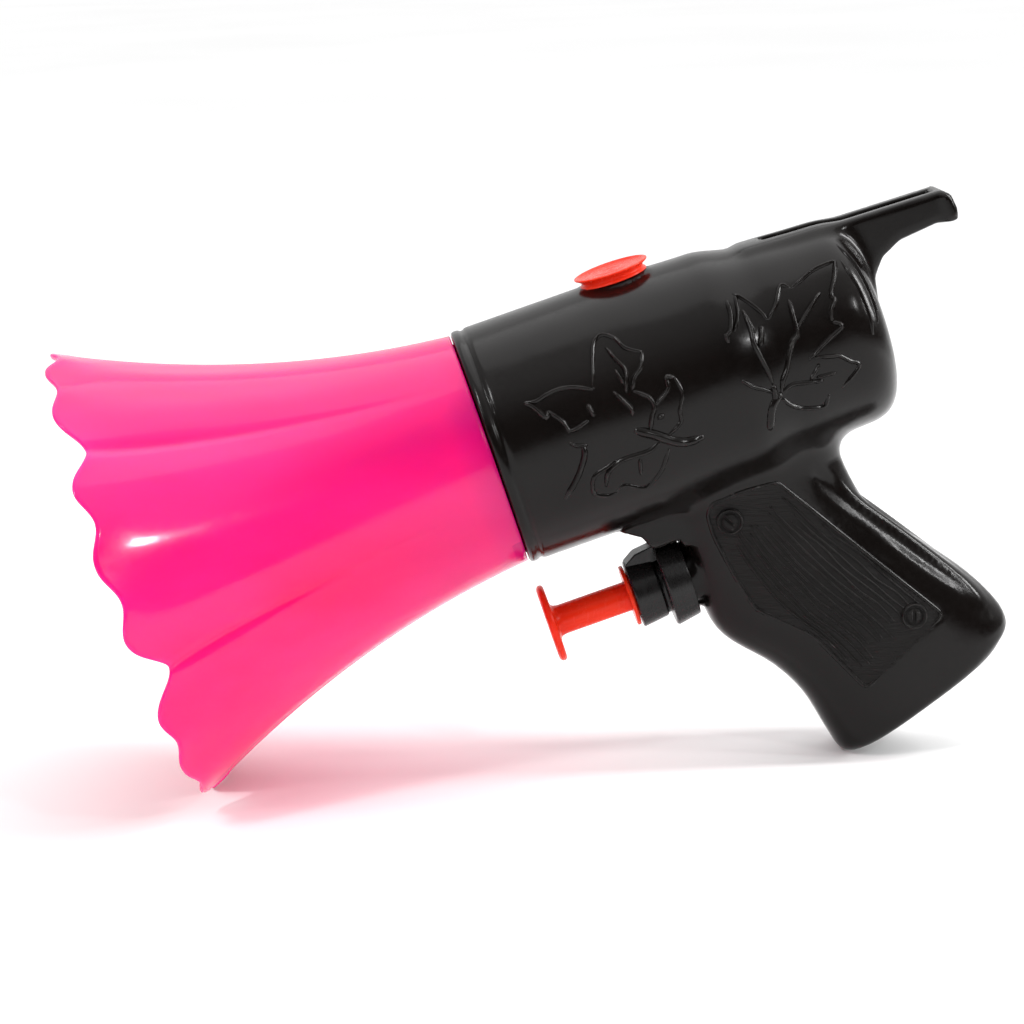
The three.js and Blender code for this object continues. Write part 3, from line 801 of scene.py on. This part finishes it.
def body_mesh():
    u_lines = grid_lines(-18.2, 103.2, 1.0, [(-0.8, 5.0, 0.36), (95.5, 103, 0.6)])
    half = grid_lines(0.23, 25.6, 1.0, [(0, 3.0, 0.46)])
    y_lines = np.concatenate([-half[::-1], half])
    v_lines = grid_lines(-86.2, 27.5, 1.0, [(17.5, 25, 0.6)])
    points, faces = skin(body_field, (u_lines, y_lines, v_lines))
    points = onto(body_field, points)
    return points, faces


def paint(piece, name, values):
    """Stores one value for each of a piece's points, for its material."""
    piece.data.attributes.new(name, "FLOAT", "POINT").data.foreach_set("value", values.astype(np.float32))


def body():
    points, faces = body_mesh()
    parts = [(points, faces.tolist())]
    for side in (-1, 1):
        for line, width, height in LEAF_LINES:
            parts.append(raised(line, side, LEAF_WIDER * width, LEAF_HIGHER * height))
        for line, width, height in REAR_RIBS:
            parts.append(raised(line, side, width, height))
        border = rounded(PANEL_OUTLINE, 1.6, 6, closed=True)
        parts.append(raised([*border, border[0]], side, 0.8, 0.25, taper=False, curved=False))
        for line in grain_lines():
            parts.append(raised(line, side, 0.42, 0.17, 0.8))
        for u, v, turn in SCREWS:
            parts.append(moulded_screw(u, v, side, turn))
    points, faces = joined(*parts)
    made = add_piece("body", points, faces, BLACK, "black_body", "pistol", ["body_shell"])
    normals_outward(made)
    share = panel_share(points[:, 0], points[:, 2]) * (np.abs(points[:, 1]) > PANEL_FROM_Y)
    paint(made, "panel", share)


def normals_outward(piece):
    """Turns each closed part of a mesh the right way out."""
    b = bmesh.new()
    b.from_mesh(piece.data)
    bmesh.ops.recalc_face_normals(b, faces=b.faces)
    b.to_mesh(piece.data)
    b.free()
    piece.data.shade_smooth()


# ---------------------------------------------------------------- bell

BELL_L = 75.8
BELL_NECK_R = 23.6
BELL_WALL = 1.5
SOCKET_END = 9.3  # how far the wide inside of the bell starts from its neck
PETALS = 6
PETAL_PHASE = math.radians(44)


def bell():
    segments, rows = 480, 96
    angle = np.arange(segments) * 2 * math.pi / segments
    turn = angle - PETAL_PHASE
    every = ((1 + np.cos(3 * PETALS * turn)) / 2) ** 1.15
    deep = ((1 + np.cos(PETALS * turn)) / 2) ** 7
    half_petal = math.pi / PETALS
    from_crease = np.mod(turn + half_petal, 2 * half_petal) - half_petal
    crease = np.exp(-(from_crease / 0.034) ** 2)
    uneven = 1 + 0.22 * np.sin(angle + 0.6) + 0.24 * np.sin(4 * angle + 2.1) + 0.14 * np.sin(7 * angle)

    def circle(radius, s):
        return np.stack([np.zeros(segments) - s, -radius * np.sin(angle), radius * np.cos(angle)], 1)

    def ring(s, inset):
        share = s / BELL_L
        radius = BELL_NECK_R + 0.0972 * s + 0.00276 * s * s - inset
        dip = (0.45 * every + 2.1 * deep) * uneven * share ** 2 + 0.7 * crease * share ** 1.2
        back = (1.7 * every + 3.1 * deep) * uneven * share ** 7
        return circle(radius - dip, s - back)

    outside = [ring(s, 0) for s in np.linspace(0.3, BELL_L - 0.5, rows)]
    lip_round = [(0.15, 0.25), (0, 0.75), (0.15, 1.25), (0.5, BELL_WALL)]
    lip = [ring(BELL_L - short, inset) for short, inset in lip_round]
    inside = [ring(s, BELL_WALL) for s in np.linspace(BELL_L - 0.8, SOCKET_END, rows - 16)]
    snap_socket = [(22.0, 7.3), (21.9, 5.5), (22.5, 5.2), (22.5, 3.6), (21.9, 3.3), (21.9, 0.6), (22.2, 0.3)]
    socket = [circle(radius, s) for radius, s in rounded(snap_socket, 0.2, 3)]
    rings = outside + lip + inside + socket
    points = np.concatenate(rings)
    faces = []
    for i in range(len(rings)):
        a, b = i * segments, (i + 1) % len(rings) * segments
        for k in range(segments):
            n = (k + 1) % segments
            faces.append([a + k, a + n, b + n, b + k])
    made = add_piece("bell_flared", points, faces, PINK, "pink_bell", "pistol", ["bell"])
    normals_outward(made)
    # painted shade: deeper colour down a streak on the near side, for a flute's dark reflection and shade, and
    # at the edge of the neck and two small tabs under it, where the black body behind the milky pink holds back
    # light
    around = np.arctan2(-points[:, 1], points[:, 2])
    along = -points[:, 0] / BELL_L
    middle = math.radians(62) + math.radians(12) * along
    width = 0.2 * (1 - along) + 0.03
    streak = np.exp(-((around - middle) / width) ** 2) * (1 - ease(along, 0.3, 0.85)) * 0.85
    streak += 0.3 * np.exp(-(along / 0.05) ** 2)
    shade_tab = (np.abs(np.abs(around) - math.radians(140)) < math.radians(8)) & (along < 0.035)
    streak = np.where(shade_tab, 1.6, streak)
    paint(made, "painted_shade", streak)


# ---------------------------------------------------------------- turned and swept pieces

OUTLET_U = 46.5  # where the outlet valve stands on the pump


def whole_turn(count):
    """count angles, evenly round a circle."""
    return np.linspace(0, 2 * math.pi, count, endpoint=False)


def put(name, part, material, slot, body="pistol", node=None):
    made = add_piece(name, *part, material, slot, body, [node] if node else [], flat_faces=True)
    normals_outward(made)
    return made


def plug():
    profile = [(0, 19), (4.3, 19), (4.9, 19.8), (4.9, 21.2), (5.1, 21.6), (4.9, 22), (4.9, 24), (6.9, 24),
               (6.8, 24.3), (6.35, 24.7), (6.4, 25.1), (6.9, 25.5), (7.5, 25.8), (7.5, 26.1), (6.9, 26.2),
               (6.3, 25.8)]
    ripples = [(r, 25.75 + 0.08 * math.cos(2.6 * r)) for r in np.linspace(5.4, 0, 22)]
    rim = rounded(profile, 0.22)
    put("plug_cap", upright(turned([*rim, *ripples]), PLUG_U), RED, "red_plastic", "plug", "fill_plug")


def trigger_piece():
    profile = [(0, -0.8), (7.4, -0.8), (8, -0.3), (8, 0.4), (7.6, 0.8), (4.2, 0.8), (3.3, 1.2), (3.05, 2.2),
               (3.05, 24.2), (3.75, 24.2), (3.75, 25.7), (2.7, 25.7), (2.7, 27.9), (3.75, 27.9), (3.75, 29),
               (2, 29), (2, 31.5), (0, 31.5)]
    dished = [(0, -0.35), (3.5, -0.45), (6.2, -0.78), (6.9, -0.8)]
    rod = turned([*dished, *rounded(profile, 0.3)[1:]])
    put("trigger_rod", at_pump(rod), RED, "red_plastic", "trigger", "trigger")


def guide():
    profile = [(3.3, 16.4), (6.25, 16.4), (6.25, 17.2), (4.6, 17.2), (4.6, 23.9), (3.3, 23.9)]
    bush = turned(rounded(profile, 0.2, closed=True), closed=True)
    put("guide_bush", at_pump(bush), RED, "red_plastic", node="guide_ring")


def collar_piece():
    profile = [(4.9, 17.5), (6.8, 17.5), (7, 17.8), (6.4, 22.9), (5.9, 23.1), (5.9, 23.9), (8.6, 24),
               (8.9, 24.4), (8.1, 29.2), (6.9, 29.2), (6.9, 24.9), (4.9, 24.9)]
    cap = turned(rounded(profile, 0.3, 5, closed=True), closed=True)
    latch = [(17.7, 5.6), (24.3, 5.6), (24.3, 8.7), (20.2, 8.3), (17.6, 6.7)]
    side_view = rounded(latch, 0.5, 5, closed=True)
    layers = [(-2.5, 0.25), (-2.3, 0.05), (-2.0, 0), (2.0, 0), (2.3, 0.05), (2.5, 0.25)]
    middle = np.mean(side_view, axis=0)
    points = []
    for y, inset in layers:
        for corner in side_view:
            away = corner - middle
            u, v = corner - away / np.linalg.norm(away) * inset
            points.append((u, y, v))
    count = len(side_view)
    faces = []
    for i, k in itertools.product(range(len(layers) - 1), range(count)):
        n = (k + 1) % count
        faces.append([i * count + k, i * count + n, (i + 1) * count + n, (i + 1) * count + k])
    faces.append(list(range(count)))
    faces.append([(len(layers) - 1) * count + k for k in range(count)])
    put("collar_cap", at_pump(joined(cap, (points, faces))), COLLAR_BLACK, "black_collar", node="collar")


def nozzle():
    profile = [(0.5, -20.6), (1.6, -20.6), (3.2, -19.2), (3.2, -18), (2.2, -18), (2.2, -9), (1.1, -9),
               (1.1, -18.6), (0.5, -19)]
    put("nozzle_jet", turned(rounded(profile, 0.15, closed=True), 64, closed=True), RED, "red_plastic",
        node="nozzle_tip")
    washer = [(2.5, -17.8), (3.4, -17.8), (3.4, -17.2), (2.5, -17.2)]
    put("nozzle_washer", turned(rounded(washer, 0.15, closed=True), 64, closed=True), RUBBER, "seal_rubber",
        node="nozzle_gasket")


def pump():
    washer = [(5.4, 26.3), (6.4, 26.3), (6.4, 26.85), (5.4, 26.85)]
    washer = turned(rounded(washer, 0.15, closed=True), closed=True)
    put("neck_washer", at_pump(washer), RUBBER, "seal_rubber", node="neck_gasket")
    profile = [(4.1, 25.2), (6.5, 25.2), (6.5, 26.1), (5.1, 26.1), (5.1, 53), (3.6, 54), (3.6, 57.5),
               (2.4, 57.5), (2.4, 54), (0.9, 54), (0.9, 52.6), (1.9, 51.6), (1.9, 49), (4.1, 49)]
    barrel = turned(rounded(profile, 0.2, closed=True), closed=True)
    port = [(0.9, 4.6), (1.9, 4.6), (1.9, 9), (0.9, 9)]
    stub = upright(turned(rounded(port, 0.12, closed=True), 48, closed=True), OUTLET_U)
    put("pump_barrel", at_pump(joined(barrel, stub)), CLEAR, "clear_plastic", node="pump_cylinder")
    ring = [(3.45 + 0.45 * math.cos(a), 26.8 - 0.45 * math.sin(a)) for a in whole_turn(16)]
    put("piston_o_ring", at_pump(turned(ring, closed=True)), RUBBER, "seal_rubber", "trigger", "piston_seal")
    valve = [(2.2, -32.6), (3.4, -32.6), (3.4, -19.5), (2.4, -19.5), (2.4, -24), (1.9, -24), (1.9, -27),
             (0.9, -28), (0.9, -29), (2.2, -29)]
    valve = turned(rounded(valve, 0.15, closed=True), 64, closed=True)
    put("valve_housing", upright(valve, OUTLET_U), CLEAR, "clear_plastic", node="outlet_valve_body")


def retainer():
    """The pierced disc: a flat face with three holes, extruded."""
    front, thick, outer, hole_r, hole_at = 47.9, 0.8, 3.8, 0.8, 1.5
    b = bmesh.new()
    edges = []

    def loop(y, v, radius, count):
        verts = []
        for a in whole_turn(count):
            verts.append(b.verts.new((front, y + radius * math.cos(a), v + radius * math.sin(a))))
        edges.extend(b.edges.new((verts[i], verts[(i + 1) % count])) for i in range(count))

    loop(0, 0, outer, 72)
    for turn in whole_turn(3):
        loop(hole_at * math.sin(turn), hole_at * math.cos(turn), hole_r, 24)
    bmesh.ops.triangle_fill(b, edges=edges, use_beauty=True)
    made = bmesh.ops.extrude_face_region(b, geom=list(b.faces))
    moved = [g for g in made["geom"] if isinstance(g, bmesh.types.BMVert)]
    bmesh.ops.translate(b, verts=moved, vec=(thick, 0, 0))
    b.verts.index_update()
    points = np.array([tuple(v.co) for v in b.verts])
    faces = [[v.index for v in f.verts] for f in b.faces]
    b.free()
    made = put("ball_stop", at_pump((points, faces)), CLEAR, "clear_plastic", node="ball_retainer")
    bevel = made.modifiers.new("soft_edges", "BEVEL")
    bevel.width = 0.0001
    bevel.segments = 2
    bevel.limit_method = "ANGLE"


def balls():
    arc = [(1.5 * math.sin(a), -1.5 * math.cos(a)) for a in np.linspace(0, math.pi, 25)]
    arc[0], arc[-1] = (0, -1.5), (0, 1.5)
    points, faces = turned(arc, 48)
    rest = math.sqrt(2) * 1.6 - 1.9  # from where the chamber ends to the resting ball's centre
    suction = at_pump((points + [51.6 - rest, 0, 0], faces))
    pressure = (points + [OUTLET_U, 0, rest - 27], faces)
    put("suction_ball", suction, STEEL, "steel", "inlet_ball", "inlet_ball")
    put("pressure_ball", pressure, STEEL, "steel", "outlet_ball", "outlet_ball")


def tubes():
    up = [(OUTLET_U, 0, -23.7), (OUTLET_U, 0, -19), (45.8, 0, -13), (42, 0, -6), (33, 0, -1.5), (20, 0, 0),
          (6, 0, 0), (-8.6, 0, 0)]
    put("feed_tube", swept(smooth_route(up), 2.1, 28, 1.2), TUBE, "clear_tube", node="delivery_tube")
    down = [(54.4, 0, 0), (58, 0, 0), (62, 0, -3), (63, 0, -10), (60.5, 0, -22), (54, 0, -39)]
    put("dip_tube", at_pump(swept(smooth_route(down), 2.1, 28, 1.2)), TUBE, "clear_tube", node="intake_tube")


def spring():
    turns, start, end = 6, 29.7, 47.2
    t = np.linspace(0, 1, turns * 40 + 1)
    lead = 0.5 - 0.5 * np.cos(math.pi * t)
    along = start + (end - start) * (0.75 * t + 0.25 * lead)
    angle = 2 * math.pi * turns * t
    route = np.stack([along, 2.9 * np.sin(angle), 2.9 * np.cos(angle)], 1)
    made = put("coil_spring", at_pump(swept(route, 0.3, 12, start_side=(1, 0, 0))), STEEL, "steel",
               node="return_spring")
    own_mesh(made)


# ---------------------------------------------------------------- stage, lights and camera


def stage():
    """A wide pale floor."""
    n = Nodes("pale_paper")
    tone = n.blend(n.spread(n.noise(3, 2), 0, 1), (0.85, 0.85, 0.85), (0.88, 0.88, 0.88))
    paper = n.feed(Base_Color=tone, Roughness=0.8, Normal=n.bump(n.noise(900, 3), 0.03, 0.0002))
    mesh = bpy.data.meshes.new("floor")
    half = 9.0
    corners = [(-half, -half, 0), (half, -half, 0), (half, half, 0), (-half, half, 0)]
    mesh.from_pydata(corners, [], [(0, 1, 2, 3)])
    mesh.shade_smooth()
    mesh.materials.append(paper)
    floor = bpy.data.objects.new("floor", mesh)
    bpy.context.scene.collection.objects.link(floor)


def area_light(name, place, size, power, aim=(0, 0, 0.05)):
    data = bpy.data.lights.new(name, "AREA")
    data.shape = "RECTANGLE"
    data.size, data.size_y = size
    data.energy = power
    lamp = bpy.data.objects.new(name, data)
    bpy.context.scene.collection.objects.link(lamp)
    lamp.location = place
    lamp.rotation_mode = "QUATERNION"
    lamp.rotation_quaternion = (Vector(aim) - Vector(place)).to_track_quat("-Z", "Y")


def lights():
    """A room that is bright above and behind and dark in front, a wide soft sun and small bright lamps."""
    world = bpy.data.worlds.new("soft_room")
    world.use_nodes = True
    nodes, links = world.node_tree.nodes, world.node_tree.links
    lean = nodes.new("ShaderNodeVectorMath")
    lean.operation = "DOT_PRODUCT"
    lean.inputs[1].default_value = (0.0, 0.45, 0.89)
    links.new(nodes.new("ShaderNodeTexCoord").outputs["Generated"], lean.inputs[0])
    strength = nodes.new("ShaderNodeMapRange")
    strength.interpolation_type = "SMOOTHSTEP"
    for socket, value in {"From Min": -0.15, "From Max": 0.75, "To Min": 0.05, "To Max": 1.04}.items():
        strength.inputs[socket].default_value = value
    links.new(lean.outputs["Value"], strength.inputs["Value"])
    links.new(strength.outputs[0], nodes["Background"].inputs[1])
    nodes["Background"].inputs[0].default_value = (1, 1, 1, 1)
    bpy.context.scene.world = world
    sky = bpy.data.lights.new("ceiling", "SUN")
    sky.energy = 1.0
    sky.angle = math.radians(62)
    ceiling = bpy.data.objects.new("ceiling", sky)
    bpy.context.scene.collection.objects.link(ceiling)
    ceiling.rotation_euler = (math.radians(-16), math.radians(6), 0)
    area_light("right_key", (0.75, -0.35, 0.5), (0.07, 0.16), 1.3)
    area_light("rear_glow", (0.65, -0.05, 0.47), (0.1, 0.45), 4.2)
    area_light("left_glint", (-0.45, -0.4, 0.65), (0.08, 0.2), 2.1)
    area_light("left_fill", (-0.75, -0.3, 0.35), (0.1, 0.2), 0.8)
    area_light("bell_glint", (0.365, -0.546, 0.493), (0.025, 0.05), 0.7)
    bpy.context.scene.view_settings.view_transform = "Standard"


def camera():
    """Nearly square on to the left side, a little from above, with the horizon tipped two degrees."""
    azimuth, elevation, roll = map(math.radians, (-4.5, 12.5, -2.0))
    target, distance = Vector((-0.0052, 0, 0.053)), 0.57
    back = Vector((math.sin(azimuth) * math.cos(elevation), -math.cos(azimuth) * math.cos(elevation),
                   math.sin(elevation)))
    right = Vector((math.cos(azimuth), math.sin(azimuth), 0))
    up = back.cross(right)
    tipped_right = math.cos(roll) * right + math.sin(roll) * up
    tipped_up = math.cos(roll) * up - math.sin(roll) * right
    data = bpy.data.cameras.new("camera")
    data.lens = 100.2
    data.sensor_width = 36
    data.clip_start = 0.01
    data.clip_end = 20
    made = bpy.data.objects.new("camera", data)
    bpy.context.scene.collection.objects.link(made)
    made.location = target + back * distance
    made.rotation_mode = "QUATERNION"
    made.rotation_quaternion = Matrix((tipped_right, tipped_up, back)).transposed().to_quaternion()
    bpy.context.scene.camera = made


body()
bell()
plug()
trigger_piece()
guide()
collar_piece()
nozzle()
pump()
retainer()
balls()
tubes()
spring()
stage()
lights()
camera()
